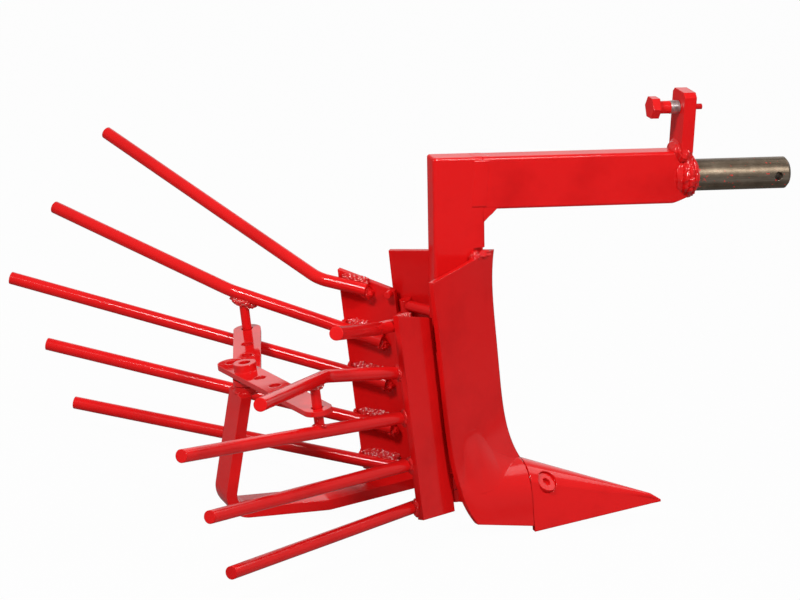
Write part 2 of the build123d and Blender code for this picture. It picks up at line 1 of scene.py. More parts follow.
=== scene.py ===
# %% [markdown]
# This is a potato-lifting plough for a walking tractor: a share and two short mouldboards on a bent bar, with a
# grate of round rods on each side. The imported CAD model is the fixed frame. Every piece below is placed in the same
# metres, and nothing in the frame is moved.

# %% Load the frame
import json
import math
import random

import bmesh
import bpy
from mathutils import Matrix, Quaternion, Vector, noise
from mathutils.bvhtree import BVHTree

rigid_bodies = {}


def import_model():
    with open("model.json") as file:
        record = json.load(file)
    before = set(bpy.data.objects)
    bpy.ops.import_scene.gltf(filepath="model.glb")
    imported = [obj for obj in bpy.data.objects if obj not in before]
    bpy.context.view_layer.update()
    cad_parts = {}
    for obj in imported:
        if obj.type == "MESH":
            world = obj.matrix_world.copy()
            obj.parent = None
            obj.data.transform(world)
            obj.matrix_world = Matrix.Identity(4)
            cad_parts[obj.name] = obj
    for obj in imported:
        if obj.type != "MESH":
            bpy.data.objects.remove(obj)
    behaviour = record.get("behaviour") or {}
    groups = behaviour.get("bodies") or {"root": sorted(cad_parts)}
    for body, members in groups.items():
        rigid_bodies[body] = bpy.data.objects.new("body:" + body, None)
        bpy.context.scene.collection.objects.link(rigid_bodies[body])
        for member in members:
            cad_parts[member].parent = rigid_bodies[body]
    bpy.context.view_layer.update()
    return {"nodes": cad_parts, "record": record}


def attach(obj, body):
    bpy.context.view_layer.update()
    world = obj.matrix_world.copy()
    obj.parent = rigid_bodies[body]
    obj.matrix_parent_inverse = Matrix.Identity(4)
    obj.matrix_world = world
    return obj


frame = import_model()
nodes = frame["nodes"]

# %% [markdown]
# The plough stands on the heels of its share and on the bent skid, so it leans back a little. Sizes are easier
# to give in the plough's own frame: x forward from the leg, y to the left, z up from the leg's top, in mm. The arm
# droops from that frame by a few degrees and has a frame of its own.

# %% Plough frame
MM = 0.001
LEAN = math.radians(9.068)
SHARE_HEEL = (61.6, 363.5)  # forward of the leg, below its top
AHEAD = Vector((math.cos(LEAN), 0, math.sin(LEAN)))
LEFT = Vector((0, 1, 0))
UP = Vector((-math.sin(LEAN), 0, math.cos(LEAN)))
STAND_X = -4.07
STAND_Z = math.cos(LEAN) * SHARE_HEEL[1] - math.sin(LEAN) * SHARE_HEEL[0]
ORIGIN = Vector((STAND_X, 0, STAND_Z)) * MM


def way(x, y, z):
    return AHEAD * x + LEFT * y + UP * z


def at(x, y, z):
    return ORIGIN + way(x, y, z) * MM


DROOP = math.radians(4.4)
ARM_X = way(math.cos(DROOP), 0, -math.sin(DROOP))
ARM_Z = way(math.sin(DROOP), 0, math.cos(DROOP))


def arm_at(x, y, z):
    return ORIGIN + (ARM_X * x + LEFT * y + ARM_Z * z) * MM


print("top of the leg at", [round(c, 4) for c in ORIGIN])

# %% [markdown]
# Each grate swings on a hinge. Along its plate u runs back from the hinge, v runs up the hinge and n points out,
# so a weld on a tine can be given by the same three numbers on both sides. The hinge itself comes from the record.

# %% Grate frames
SPLAY = math.radians(39.0)
joints = {joint["child"]: joint for joint in frame["record"]["behaviour"]["joints"]}
HINGE = Vector(joints["grate_left"]["pos_m"])
HINGE_UP = Vector(joints["grate_left"]["axis"]).normalized()
BACK = way(-math.cos(SPLAY), math.sin(SPLAY), 0)
PLATE_U = (BACK - HINGE_UP * BACK.dot(HINGE_UP)).normalized()
PLATE_N = PLATE_U.cross(HINGE_UP)
SIDES = {"left": 1, "right": -1}


def mirrored(vector, side):
    return Vector((vector.x, vector.y * SIDES[side], vector.z))


def grate_at(side, u, v, n):
    return mirrored(HINGE + (PLATE_U * u + HINGE_UP * v + PLATE_N * n) * MM, side)


def grate_way(side, u, v, n):
    return mirrored(PLATE_U * u + HINGE_UP * v + PLATE_N * n, side)


print("hinge at", [round(c, 4) for c in HINGE])

# %% [markdown]
# A finish is a graph of shader nodes, and the same few nodes come up again and again. Each gets a helper, so that a
# finish reads as a short list of what it is made of. The first ones make a material and the patterns in it: noise in
# object coordinates, a ramp that turns a number into a colour, and a change of range.


# %% Pattern nodes
def new_material(name):
    material = bpy.data.materials.new(name)
    material.use_nodes = True
    tree = material.node_tree
    tree.nodes.clear()
    output = tree.nodes.new("ShaderNodeOutputMaterial")
    shader = tree.nodes.new("ShaderNodeBsdfPrincipled")
    tree.links.new(shader.outputs["BSDF"], output.inputs["Surface"])
    coords = tree.nodes.new("ShaderNodeTexCoord")
    return material, tree, shader, coords.outputs["Object"]


def noise_node(tree, coords, scale, detail=4.0, rough=0.55):
    node = tree.nodes.new("ShaderNodeTexNoise")
    node.inputs["Scale"].default_value = scale
    node.inputs["Detail"].default_value = detail
    node.inputs["Roughness"].default_value = rough
    tree.links.new(coords, node.inputs["Vector"])
    return node.outputs["Fac"]


def ramp_node(tree, factor, stops):
    node = tree.nodes.new("ShaderNodeValToRGB")
    ramp = node.color_ramp
    while len(ramp.elements) < len(stops):
        ramp.elements.new(0.5)
    for element, (place, colour) in zip(ramp.elements, stops):
        element.position = place
        element.color = (*colour, 1)
    tree.links.new(factor, node.inputs["Fac"])
    return node.outputs["Color"]


def range_node(tree, value, low, high, new_low, new_high):
    node = tree.nodes.new("ShaderNodeMapRange")
    for name, number in zip(("From Min", "From Max", "To Min", "To Max"), (low, high, new_low, new_high)):
        node.inputs[name].default_value = number
    tree.links.new(value, node.inputs["Value"])
    return node.outputs["Result"]


# %% [markdown]
# The next ones put patterns together. A value may be a socket or a plain number: a socket is linked and a number is
# set on the input. The edge helper compares a rounded normal with the flat one, which tells how near an edge is.


# %% Mixing nodes
def feed(tree, socket, value):
    if isinstance(value, bpy.types.NodeSocket):
        tree.links.new(value, socket)
    else:
        socket.default_value = value


def mix_node(tree, factor, first, second, blend="MIX"):
    node = tree.nodes.new("ShaderNodeMix")
    node.data_type = "RGBA"
    node.blend_type = blend
    for socket, value in ((node.inputs["Factor"], factor), (node.inputs[6], first), (node.inputs[7], second)):
        feed(tree, socket, value)
    return node.outputs[2]


def math_node(tree, operation, first, second):
    node = tree.nodes.new("ShaderNodeMath")
    node.operation = operation
    for socket, value in zip(node.inputs, (first, second)):
        feed(tree, socket, value)
    return node.outputs["Value"]


def bump_node(tree, height, strength, distance, normal=None):
    node = tree.nodes.new("ShaderNodeBump")
    node.inputs["Strength"].default_value = strength
    node.inputs["Distance"].default_value = distance
    tree.links.new(height, node.inputs["Height"])
    if normal is not None:
        tree.links.new(normal, node.inputs["Normal"])
    return node.outputs["Normal"]


def edge_nodes(tree, radius):
    rounded = tree.nodes.new("ShaderNodeBevel")
    rounded.samples = 6
    rounded.inputs["Radius"].default_value = radius
    flat = tree.nodes.new("ShaderNodeNewGeometry")
    dot = tree.nodes.new("ShaderNodeVectorMath")
    dot.operation = "DOT_PRODUCT"
    tree.links.new(rounded.outputs["Normal"], dot.inputs[0])
    tree.links.new(flat.outputs["Normal"], dot.inputs[1])
    edge = range_node(tree, dot.outputs["Value"], 0.98, 0.75, 0.0, 1.0)
    return rounded.outputs["Normal"], edge


# %% [markdown]
# The paint is one thick coat of glossy red enamel, sprayed over steel that was never filled or sanded. Small
# noise in the colour and the roughness keeps it from looking like plastic, a fine bump gives the orange peel, and
# a rounded normal catches light along the edges, which are also painted a brighter red as a painted highlight. On
# the rough weld, pale flecks are painted on the crests as painted glints.

# %% Paint
DEEP_RED = (0.56, 0.0042, 0.0046)
RED = (0.68, 0.0068, 0.0072)
# a brighter red painted along the edges as a painted highlight
EDGE_HIGHLIGHT_RED = (0.76, 0.016, 0.014)
# pale pink painted on the weld crests as painted glints
GLINT_PINK = (0.86, 0.42, 0.38)
EDGE_RADIUS = 0.0014


def paint(name, rough, grain, depth, grain_scale, gloss, edges=True, painted_glints=0.0):
    material, tree, shader, coords = new_material(name)
    cloud = noise_node(tree, coords, scale=14.0, detail=5.0)
    colour = ramp_node(tree, cloud, [(0.28, DEEP_RED), (0.52, RED), (0.80, RED)])
    normal = None
    if edges:
        normal, edge = edge_nodes(tree, EDGE_RADIUS)
        # painted highlight: the colour near each edge is mixed toward a brighter red
        colour = mix_node(tree, math_node(tree, "MULTIPLY", edge, 0.5), colour, (*EDGE_HIGHLIGHT_RED, 1))
    speck = noise_node(tree, coords, scale=700.0, detail=2.0)
    specks = range_node(tree, speck, 0.72, 0.78, 0.0, 0.5)
    colour = mix_node(tree, specks, colour, (*DEEP_RED, 1))
    if painted_glints:
        # painted glints: pale flecks spread over the weld by noise
        glint_noise = noise_node(tree, coords, scale=430.0, detail=3.0, rough=0.6)
        colour = mix_node(tree, range_node(tree, glint_noise, 0.55, 0.62, 0.0, painted_glints), colour, (*GLINT_PINK, 1))
    tree.links.new(colour, shader.inputs["Base Color"])
    smear = noise_node(tree, coords, scale=42.0, detail=6.0)
    tree.links.new(range_node(tree, smear, 0.35, 0.70, *rough), shader.inputs["Roughness"])
    peel = noise_node(tree, coords, scale=1200.0, detail=2.0)
    normal = bump_node(tree, peel, strength=0.015, distance=0.0004, normal=normal)
    scales = noise_node(tree, coords, scale=grain_scale, detail=5.0)
    normal = bump_node(tree, scales, strength=grain, distance=depth, normal=normal)
    wave = noise_node(tree, coords, scale=22.0, detail=2.0)
    normal = bump_node(tree, wave, strength=0.04, distance=0.006, normal=normal)
    tree.links.new(normal, shader.inputs["Normal"])
    shader.inputs["Specular IOR Level"].default_value = gloss
    return material


# %% [markdown]
# One recipe gives all the red finishes, because it is one coat of paint. What differs is the ground below it. Rolled
# flats are smooth and mirror more, and welds are grainy; on the sparkling weld, pale glints are painted on as well.
# Pieces that are laid over a joint go without the rounded edge, which would feel the joint below them and draw a
# line there.

# %% Red finishes
PLAIN = {"rough": (0.10, 0.16), "grain": 0.015, "depth": 0.0012, "grain_scale": 240.0, "gloss": 0.24}
ROLLED = {"rough": (0.05, 0.10), "grain": 0.01, "depth": 0.0012, "grain_scale": 180.0, "gloss": 0.50}
WELD = {"rough": (0.05, 0.12), "grain": 0.60, "depth": 0.0030, "grain_scale": 300.0, "gloss": 0.50}
SCALES = {"rough": (0.03, 0.08), "grain": 0.80, "depth": 0.0040, "grain_scale": 340.0, "gloss": 0.95}
HOT_WELD = {"rough": (0.08, 0.15), "grain": 0.30, "depth": 0.0030, "grain_scale": 190.0, "gloss": 0.50}
GROUND = {"rough": (0.13, 0.20), "grain": 0.05, "depth": 0.0012, "grain_scale": 240.0, "gloss": 0.24}
red_paint = paint("red_enamel", **PLAIN)
strap_paint = paint("red_enamel_on_straps", **ROLLED)
weld_paint = paint("red_enamel_on_weld", **WELD, edges=False)
# the sparkling weld finish, with pale glints painted on
weld_paint_with_painted_glints = paint("red_enamel_on_scales_with_painted_glints", **SCALES, edges=False, painted_glints=0.75)
smooth_weld_paint = paint("red_enamel_on_smooth_weld", **HOT_WELD, edges=False)
ground_paint = paint("red_enamel_on_ground_weld", **GROUND, edges=False)
bend_paint = paint("red_enamel_on_bend", **PLAIN, edges=False)
print("red finishes", sum(name.startswith("red_enamel") for name in bpy.data.materials.keys()))

# %% [markdown]
# The hitch pin is round bar left bare so that it slides in the tractor's sleeve. It has tarnished to a warm grey
# brown, with fine streaks, and a paler band along it is a painted highlight. Paint has sprayed over it where it
# meets the arm, and in a few dots farther out. All of this hangs on the place along the pin and around it, so those
# are worked out first.


# %% Bare steel
def dot_node(tree, vector, direction):
    node = tree.nodes.new("ShaderNodeVectorMath")
    node.operation = "DOT_PRODUCT"
    node.inputs[1].default_value = direction
    tree.links.new(vector, node.inputs[0])
    return node.outputs["Value"]


DARK_STAIN = (0.146, 0.107, 0.072)
MID_STAIN = (0.21, 0.161, 0.113)
PALE_STAIN = (0.292, 0.227, 0.165)
# the paler band along the pin is a painted highlight, a little below its middle
HIGHLIGHT_TINT = (0.54, 0.47, 0.39)
HIGHLIGHT_DROP, HIGHLIGHT_HALF = 0.002, 0.005
STREAK_SHARE = 0.06


def bare_steel(name, near, toward):
    material, tree, shader, coords = new_material(name)
    shift = tree.nodes.new("ShaderNodeVectorMath")
    shift.operation = "SUBTRACT"
    shift.inputs[1].default_value = near
    tree.links.new(coords, shift.inputs[0])
    place = dot_node(tree, shift.outputs["Vector"], toward)
    side = dot_node(tree, shift.outputs["Vector"], LEFT)
    height = dot_node(tree, shift.outputs["Vector"], toward.cross(LEFT))
    drawn = tree.nodes.new("ShaderNodeCombineXYZ")
    tree.links.new(math_node(tree, "MULTIPLY", place, STREAK_SHARE), drawn.inputs["X"])
    tree.links.new(side, drawn.inputs["Y"])
    tree.links.new(height, drawn.inputs["Z"])
    streaks = noise_node(tree, drawn.outputs["Vector"], scale=420.0, detail=6.0, rough=0.7)
    tarnish = noise_node(tree, coords, scale=60.0, detail=7.0, rough=0.65)
    stain_and_highlight = ramp_node(tree, tarnish, [(0.30, DARK_STAIN), (0.52, MID_STAIN), (0.72, PALE_STAIN)])
    # painted highlight: a paler band runs along the pin a little below its middle
    off_highlight = math_node(tree, "ABSOLUTE", math_node(tree, "ADD", height, HIGHLIGHT_DROP), 0.0)
    stain_and_highlight = mix_node(tree, range_node(tree, off_highlight, 0.0, HIGHLIGHT_HALF, 0.45, 0.0), stain_and_highlight, (*HIGHLIGHT_TINT, 1))
    drawn_tint = ramp_node(tree, streaks, [(0.30, (0.62, 0.60, 0.58)), (0.70, (1.0, 1.0, 1.0))])
    colour = mix_node(tree, 1.0, stain_and_highlight, drawn_tint, "MULTIPLY")
    spray = noise_node(tree, coords, scale=380.0, detail=3.0)
    nearness = range_node(tree, place, 0.0055, 0.0075, 0.95, 0.34)
    fading = range_node(tree, place, 0.010, 0.030, 0.0, 0.08)
    cover = math_node(tree, "SUBTRACT", math_node(tree, "SUBTRACT", nearness, fading), spray)
    dots = range_node(tree, noise_node(tree, coords, scale=300.0, detail=2.0), 0.69, 0.71, 0.0, 0.9)
    mask = math_node(tree, "MAXIMUM", range_node(tree, cover, -0.02, 0.03, 0.0, 1.0), dots)
    tree.links.new(mix_node(tree, mask, colour, (*RED, 1)), shader.inputs["Base Color"])
    tree.links.new(math_node(tree, "SUBTRACT", 0.9, mask), shader.inputs["Metallic"])
    tree.links.new(range_node(tree, streaks, 0.3, 0.7, 0.30, 0.44), shader.inputs["Roughness"])
    normal = edge_nodes(tree, 0.0008)[0]
    normal = bump_node(tree, streaks, strength=0.12, distance=0.0004, normal=normal)
    normal = bump_node(tree, spray, strength=0.12, distance=0.0004, normal=normal)
    tree.links.new(normal, shader.inputs["Normal"])
    return material


ARM_END = 233.0
PIN_MID = -25.0
pin_steel = bare_steel("tarnished_steel", arm_at(ARM_END, 0, PIN_MID), ARM_X)
print("steel", pin_steel.name)

# %% [markdown]
# Every piece of the frame takes the paint. The straps are smooth rolled flats, so theirs mirrors more, and the hitch
# pin takes the bare steel. The shapes stay as they come from the frame, because only materials are changed.

# %% Dress the frame
finishes = {"hitch_pin": pin_steel, "strap_left": strap_paint, "strap_right": strap_paint}
for name, obj in nodes.items():
    obj.data.materials.clear()
    obj.data.materials.append(finishes.get(name, red_paint))
    for polygon in obj.data.polygons:
        polygon.material_index = 0
print("dressed", len(nodes), "nodes")

# %% [markdown]
# The pieces that are added are meshes built from points. They are all finished the same way: the faces are turned
# outward, the shading is smooth, and the piece is told which body carries it, so that it swings with its grate. A
# thin piece is a skin over a surface, closed by a root that lies inside the metal, so that no mesh is left open.


# %% Mesh helpers
def finished_mesh(name, bm):
    bmesh.ops.recalc_face_normals(bm, faces=bm.faces)
    if bm.calc_volume(signed=True) < 0:
        bmesh.ops.reverse_faces(bm, faces=bm.faces)
    mesh = bpy.data.meshes.new(name)
    bm.to_mesh(mesh)
    bm.free()
    for polygon in mesh.polygons:
        polygon.use_smooth = True
    return mesh


def place_piece(name, mesh, body, material):
    obj = bpy.data.objects.new(name, mesh)
    bpy.context.collection.objects.link(obj)
    mesh.materials.append(material)
    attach(obj, body)
    return obj


def closed_skin(name, skin, root, material):
    bm = bmesh.new()
    skin, root = [[[bm.verts.new(spot) for spot in row] for row in grid] for grid in (skin, root)]
    steps, across = len(skin) - 1, len(skin[0]) - 1
    for grid in (skin, root):
        for first, second in zip(grid, grid[1:]):
            for k in range(across):
                bm.faces.new((first[k], first[k + 1], second[k + 1], second[k]))
    for k in range(steps):
        for i in (0, across):
            bm.faces.new((skin[k][i], skin[k + 1][i], root[k + 1][i], root[k][i]))
    for k in range(across):
        for j in (0, steps):
            bm.faces.new((skin[j][k], skin[j][k + 1], root[j][k + 1], root[j][k]))
    return place_piece(name, finished_mesh(name, bm), "plough", material)


# %% [markdown]
# Weld beads are what makes such a tool look real. A bead is a flattened tube along the joint. The pool froze in
# overlapping scales, so its size swells and drops once in each pitch, and no two scales are quite alike. A bump map
# alone would leave the outline smooth, so the scales are real shape.

# %% Weld bead
BEAD_SIDES = 16
STEPS_IN_SCALE = 8
NEAR_ZERO = 1e-9


def bead_spot(points, lengths, s):
    index = max(i for i in range(len(lengths) - 1) if lengths[i] <= s + NEAR_ZERO)
    part = (s - lengths[index]) / max(lengths[index + 1] - lengths[index], NEAR_ZERO)
    return points[index].lerp(points[index + 1], part), (points[index + 1] - points[index]).normalized()


def bead_mesh(name, points, radius, lift, pitch, seed, closed, flat):
    rng = random.Random(seed)
    lengths = [0.0]
    for a, b in zip(points, points[1:]):
        lengths.append(lengths[-1] + (b - a).length)
    total = lengths[-1]
    steps = max(12, int(total / pitch * STEPS_IN_SCALE))
    wobble = [rng.uniform(-1, 1) for _ in range(int(total / pitch) + 3)]
    bm = bmesh.new()
    rings = []
    for step in range(steps if closed else steps + 1):
        s = total * step / steps
        centre, forward = bead_spot(points, lengths, s)
        out = (lift - forward * lift.dot(forward)).normalized()
        across = forward.cross(out)
        saw = s / pitch - math.floor(s / pitch)
        size = radius * (0.82 + 0.26 * math.sin(math.pi * saw) ** 0.6 + 0.10 * wobble[int(s / pitch)])
        if not closed:
            ends = min(s, total - s) / (radius * 1.2)
            size *= math.sqrt(max(0.02, 1 - max(0.0, 1 - ends) ** 2))
        ring = []
        for k in range(BEAD_SIDES):
            angle = 2 * math.pi * k / BEAD_SIDES
            lag = forward * math.cos(angle) ** 2 * pitch * -0.9
            spot = centre + across * math.cos(angle) * size + out * math.sin(angle) * size * flat + lag
            rough = noise.noise(spot * 900 + Vector((seed, 0, 0))) * radius * 0.2 * flat
            ring.append(bm.verts.new(spot + (spot - centre).normalized() * rough))
        rings.append(ring)
    pairs = list(zip(rings, rings[1:]))
    if closed:
        pairs.append((rings[-1], rings[0]))
    for first, second in pairs:
        for k in range(BEAD_SIDES):
            j = (k + 1) % BEAD_SIDES
            bm.faces.new((first[k], first[j], second[j], second[k]))
    if not closed:
        bm.faces.new(list(reversed(rings[0])))
        bm.faces.new(rings[-1])
    return finished_mesh(name, bm)


def bead(name, body, points, radius, lift, pitch=3.2, seed=1, closed=False, flat=0.72, material=weld_paint):
    mesh = bead_mesh(name, points, radius * MM, lift, pitch * MM, seed, closed, flat)
    return place_piece(name, mesh, body, material)


def ring_points(centre, axis, radius, count=24):
    side = axis.orthogonal().normalized()
    other = axis.cross(side)
    turns = [2 * math.pi * k / count for k in range(count + 1)]
    return [centre + (side * math.cos(t) + other * math.sin(t)) * radius * MM for t in turns]


# %% [markdown]
# Where a rod meets a rod, or the welder stayed longer, the weld is a lump. A ball is cut into small triangles,
# stretched along the joint and pushed in and out by two sizes of noise and by the scales of the pool. Slow, hot
# welds came out smoother, so how bumpy a lump is can be set.

# %% Weld lump
LUMP_CUTS = 5


def lump(name, body, centre, axes, seed, scales=12.0, bumpy=1.0, material=weld_paint):
    bm = bmesh.new()
    bmesh.ops.create_icosphere(bm, subdivisions=LUMP_CUTS, radius=1.0)
    shift = Vector((seed * 1.7, seed * 0.6, seed * 0.3))
    for vert in bm.verts:
        ball = vert.co.copy()
        swell = 0.20 * noise.noise(ball * 1.6 + shift) + 0.12 * noise.noise(ball * 5.0 + shift)
        swell += 0.05 * math.sin(scales * ball.x + 3 * noise.noise(ball * 2.2 + shift))
        spot = axes[0] * ball.x + axes[1] * ball.y + axes[2] * ball.z
        vert.co = centre + spot * (1 + bumpy * swell) * MM
    return place_piece(name, finished_mesh(name, bm), body, material)


# %% [markdown]
# The tines lie on the inner face of each plate. Each is welded above and below, from the plate's rear edge forward.
# The upper beads face the camera and sparkle, so they take the glossier finish with pale glints painted on.

# %% Tine beads
TINE_R = 6.0
PLATE_REAR_U = 61.0
PLATE_INNER_N = -4.5
BEAD_SHORT = 2.0  # ends this far from the plate's rear edge
BEAD_IN = 1.2  # lies this far in from the plate's inner face
BEAD_SPOTS = 5
TINE_WELDS = {"over": (TINE_R + 1.2, 5.2, 1.0), "under": (-TINE_R - 0.4, 3.8, 8.0)}  # offset, radius, start
TOP_RADIUS = 3.4  # the first tine lies close under the plate's top edge


def tine_beads(side, number, u0, v0, rise):
    for edge, (offset, radius, start) in TINE_WELDS.items():
        spots = []
        for k in range(BEAD_SPOTS):
            u = u0 + start + (PLATE_REAR_U - BEAD_SHORT - u0 - start) * k / (BEAD_SPOTS - 1)
            spots.append(grate_at(side, u, v0 + (u - u0) * rise + offset, PLATE_INNER_N - BEAD_IN))
        lift = grate_way(side, 0, 0.3 if offset > 0 else -0.3, -1)
        radius = TOP_RADIUS if number == 1 else radius
        # the upper beads take the finish with painted glints
        material = weld_paint_with_painted_glints if edge == "over" else weld_paint
        name, seed = f"weld_tine_{side}_{number}_{edge}", number * 7 + len(edge)
        bead(name, f"grate_{side}", spots, radius, lift, 3.6, seed, material=material)


# %% [markdown]
# A lump of weld closes the front end of each tine, and all but the first have one at the plate's rear edge too. One
# table gives the tines: where each starts on its plate, and a second place on it, which gives its slope.

# %% Tine lumps
TINE_RUNS = [  # front u, front v, second u, second v
    (33.0, 25.0, 80.0, 36.0),
    (24.0, -26.0, 172.0, 23.8),
    (24.0, -67.5, 399.3, 34.5),
    (24.0, -112.9, 371.0, -32.9),
    (24.0, -153.2, 350.9, -93.2),
]


FRONT_LUMP = ((6.5, 1.6, 0), (0, 5.8, 0), (0, 0, 6.0))  # reach along, up and out, each as u, v, n
REAR_LUMP = ((3.2, 0.8, 0), (0, 8.0, 0), (0, 0, 4.2))
FRONT_BACK, FRONT_DOWN, FRONT_IN = 1.8, 3.2, 4.0
REAR_IN = 1.5


def grate_axes(side, reaches):
    return tuple(grate_way(side, *reach) for reach in reaches)


def tine_lumps(side, number, u0, v0, rise):
    spot = grate_at(side, u0 + FRONT_BACK, v0 - FRONT_DOWN, PLATE_INNER_N - FRONT_IN)
    axes = grate_axes(side, FRONT_LUMP)
    lump(f"weld_front_{side}_{number}", f"grate_{side}", spot, axes, seed=number + 40)
    if number > 1:
        spot = grate_at(side, PLATE_REAR_U, v0 + (PLATE_REAR_U - u0) * rise, PLATE_INNER_N - REAR_IN)
        axes = grate_axes(side, REAR_LUMP)
        lump(f"weld_rear_{side}_{number}", f"grate_{side}", spot, axes, seed=number)


for side in SIDES:
    for number, (u0, v0, u1, v1) in enumerate(TINE_RUNS, 1):
        rise = (v1 - v0) / (u1 - u0)
        tine_beads(side, number, u0, v0, rise)
        tine_lumps(side, number, u0, v0, rise)
tine_welds = [name for name in bpy.data.objects.keys() if name.startswith("weld_")]
print("tine welds", len(tine_welds))

# %% [markdown]
# The stop lug is welded all round its foot and the hitch pin all round its end. The pin is thicker than the bar, so
# the weld swells over both sides of the arm's end. Three smooth lumps give that swell, and three closed rings of
# bead give the collar, one behind the other as the welder laid them.

# %% Arm welds
ARM_LUMPS = {  # place along and up, then reach along, across and up
    "lug_foot": (223.5, -1.0, 10.5, 15.8, 12.0),
    "pin_throat": (228.5, -13.0, 9.0, 13.6, 11.0),
    "pin_end": (225.5, -25.0, 12.5, 13.8, 20.0),
}
COLLARS = {  # ring's radius, place along from the arm's end, bead's radius
    "back": (13.0, -5.5, 4.8),
    "inner": (15.0, -1.8, 4.8),
    "outer": (15.8, 2.2, 3.2),
}
for number, (name, (x, z, *reach)) in enumerate(ARM_LUMPS.items()):
    axes = (ARM_X * reach[0], LEFT * reach[1], ARM_Z * reach[2])
    lump(f"weld_{name}", "plough", arm_at(x, 0, z), axes, 5 * number + 3, 22.0, 0.4, smooth_weld_paint)
for name, (reach, along, radius) in COLLARS.items():
    ring = ring_points(arm_at(ARM_END + along, 0, PIN_MID), ARM_X, reach)
    seed = 61 + len(name)
    bead(f"weld_collar_{name}", "plough", ring, radius, ARM_X, 7.5, seed, True, 0.85, smooth_weld_paint)
print("arm welds", len(ARM_LUMPS) + len(COLLARS))

# %% [markdown]
# Where the arm meets the leg the weld was ground off level with the bar. Only a faint swell is left, a thin skin
# over the joint that fades out to nothing at both edges. A bump would not do here, because the two bars meet in a
# real seam that has to be covered.

# %% Ground weld
GROUND_STEPS, GROUND_ACROSS = 24, 12
GROUND_W = 16.0
GROUND_SINK, GROUND_ROOT = 0.02, 0.5


def ground_weld(name, start, along, out, length, rise):
    def spot(x, run, lift):
        return start + (ARM_X * x + along * run + out * lift) * MM

    skin, root = [], []
    for j in range(GROUND_STEPS + 1):
        run = length * j / GROUND_STEPS
        skin_row, root_row = [], []
        for i in range(GROUND_ACROSS + 1):
            t = 2 * i / GROUND_ACROSS - 1
            x = t * GROUND_W / 2
            uneven = 1 + 0.5 * noise.noise(spot(x, run, 0) * 160)
            skin_row.append(spot(x, run, rise * (1 - t * t) * uneven - GROUND_SINK))
            root_row.append(spot(x, run, -GROUND_ROOT))
        skin.append(skin_row)
        root.append(root_row)
    return closed_skin(name, skin, root, ground_paint)


BAR_HALF = 10.0
BAR_DEEP = 50.0
SEAM_X = 23.0
SEAM_IN = 2.5  # from the bar's upper and lower edge
SEAM_TOP_HALF = 7.0
for side, sign in SIDES.items():
    start = arm_at(SEAM_X, sign * BAR_HALF, -SEAM_IN)
    ground_weld(f"weld_seam_{side}", start, -ARM_Z, LEFT * sign, BAR_DEEP - 2 * SEAM_IN, 0.14)
ground_weld("weld_seam_top", arm_at(SEAM_X, -SEAM_TOP_HALF, 0), LEFT, ARM_Z, 2 * SEAM_TOP_HALF, 0.30)
print("ground welds", len(SIDES) + 1)

# %% [markdown]
# Under the arm the inner corner is filled with a broad, flat weld, as wide as the bar. A grid is laid from the leg to
# the arm, rounded off towards its sides, and closed behind. Its two ends stay flat shaded, since smooth normals
# would make them look hollow.

# %% Corner weld
CORNER_ROWS, CORNER_STEPS = 16, 12
CORNER_ROUND = 1.2
CORNER_RIPPLE = 0.35
OUTWARD = 0.7  # the fill faces forward and down in equal parts


def corner_weld(name, leg_end, arm_end, corner, half):
    bm = bmesh.new()
    rows = []
    for j in range(CORNER_ROWS + 1):
        y = half * (2 * j / CORNER_ROWS - 1)
        inset = CORNER_ROUND * (1 - math.sqrt(1 - abs(y / half) ** 8))
        row = []
        for i in range(CORNER_STEPS + 1):
            x = leg_end[0] + (arm_end[0] - leg_end[0]) * i / CORNER_STEPS
            z = leg_end[1] + (arm_end[1] - leg_end[1]) * i / CORNER_STEPS
            ripple = CORNER_RIPPLE * noise.noise(Vector((x * 0.5, y * 0.5, 3))) - inset
            row.append(bm.verts.new(arm_at(x + ripple * OUTWARD, y, z - ripple * OUTWARD)))
        row.append(bm.verts.new(arm_at(corner[0], y, corner[1])))
        rows.append(row)
    for first, second in zip(rows, rows[1:]):
        for k in range(len(first)):
            j = (k + 1) % len(first)
            bm.faces.new((first[k], first[j], second[j], second[k]))
    bm.faces.new(rows[0])
    bm.faces.new(list(reversed(rows[-1])))
    mesh = finished_mesh(name, bm)
    for polygon in mesh.polygons:
        polygon.use_smooth = polygon.loop_total == 4
    return place_piece(name, mesh, "plough", ground_paint)


corner_weld("weld_corner", leg_end=(29.3, -62.0), arm_end=(42.0, -49.3), corner=(27.0, -48.0), half=9.95)
print("corner weld done")

# %% [markdown]
# Each mouldboard is one pressed plate: its upright wall runs into the shoulder over the share in a soft hollow. The
# solid has a crease there, so a strip is laid over it. A table of lines on the outer face gives places near the
# board, and the nearest point of the real mesh is then looked up.

# %% Places on the boards
FOOT_Z = -303.0
BOARD_ROWS = [  # front x, y, rise and rear x, y, rise of the outer face, from the wall down
    ((43.0, 0.0, 68.0), (-31.7, 61.0, 68.0)),
    ((51.5, 0.0, 23.0), (-25.6, 61.0, 23.0)),
    ((60.5, 0.0, 3.0), (-21.0, 61.0, 3.0)),
    ((61.0, 15.0, -3.0), (-19.3, 60.8, -3.0)),
    ((61.0, 26.5, -14.0), (-15.8, 60.3, -14.0)),
    ((61.0, 32.3, -32.0), (-8.5, 59.0, -29.0)),
]
CREASE_ROW = 2


def board_spot(run, row, sign):
    index = min(max(int(row), 0), len(BOARD_ROWS) - 2)
    ends = [Vector(front).lerp(Vector(rear), run) for front, rear in BOARD_ROWS[index : index + 2]]
    x, y, rise = ends[0].lerp(ends[1], row - index)
    return at(x, sign * y, FOOT_Z + rise)


def board_tree(side):
    node = nodes[f"mouldboard_{side}"]
    corners = [node.matrix_world @ vert.co for vert in node.data.vertices]
    return BVHTree.FromPolygons(corners, [polygon.vertices[:] for polygon in node.data.polygons])


